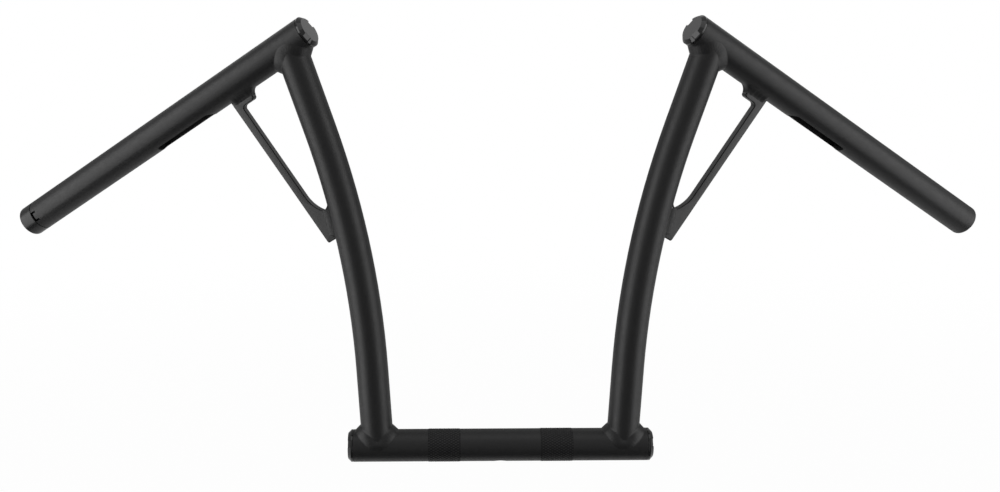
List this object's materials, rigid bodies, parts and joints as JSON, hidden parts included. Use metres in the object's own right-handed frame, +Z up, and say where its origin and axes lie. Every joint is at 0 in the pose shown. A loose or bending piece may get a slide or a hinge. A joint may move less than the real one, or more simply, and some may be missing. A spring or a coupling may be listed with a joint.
{
  "type": "motorcycle handlebar",
  "caption": "Tall welded steel handlebar: straight clamp tube, outward-bent risers, swept grip tubes with wiring slots, flat corner gussets and bevelled end plugs.",
  "frame": {"origin": "middle of the clamp tube's axis", "axes": "+X along the clamp tube towards the clutch side (the rider's left), -Y towards the front of the motorcycle, +Z up in the plane of the two risers"},
  "size_m": [0.8101, 0.1185, 0.3502],
  "materials": {
    "powder_coat": "satin black powder coat with a fine texture",
    "coated_weld": "satin black powder coat over a rippled weld bead",
    "gloss_plug": "gloss black",
    "end_sleeve": "semi-gloss black"
  },
  "bodies": {
    "root": {"clamp_tube": "powder_coat", "throttle_side_riser": "powder_coat", "clutch_side_riser": "powder_coat", "throttle_side_grip_tube": "powder_coat", "clutch_side_grip_tube": "powder_coat", "throttle_side_gusset": "powder_coat", "clutch_side_gusset": "powder_coat", "throttle_side_riser_base_weld": "coated_weld", "clutch_side_riser_base_weld": "coated_weld", "throttle_side_riser_top_weld": "coated_weld", "clutch_side_riser_top_weld": "coated_weld", "throttle_side_gusset_upper_weld": "coated_weld", "clutch_side_gusset_upper_weld": "coated_weld", "throttle_side_gusset_lower_weld": "coated_weld", "clutch_side_gusset_lower_weld": "coated_weld", "throttle_side_clamp_plug": "gloss_plug", "clutch_side_clamp_plug": "gloss_plug", "throttle_side_grip_plug": "gloss_plug", "clutch_side_grip_plug": "gloss_plug", "throttle_end_sleeve": "end_sleeve"}
  },
  "joints": []
}
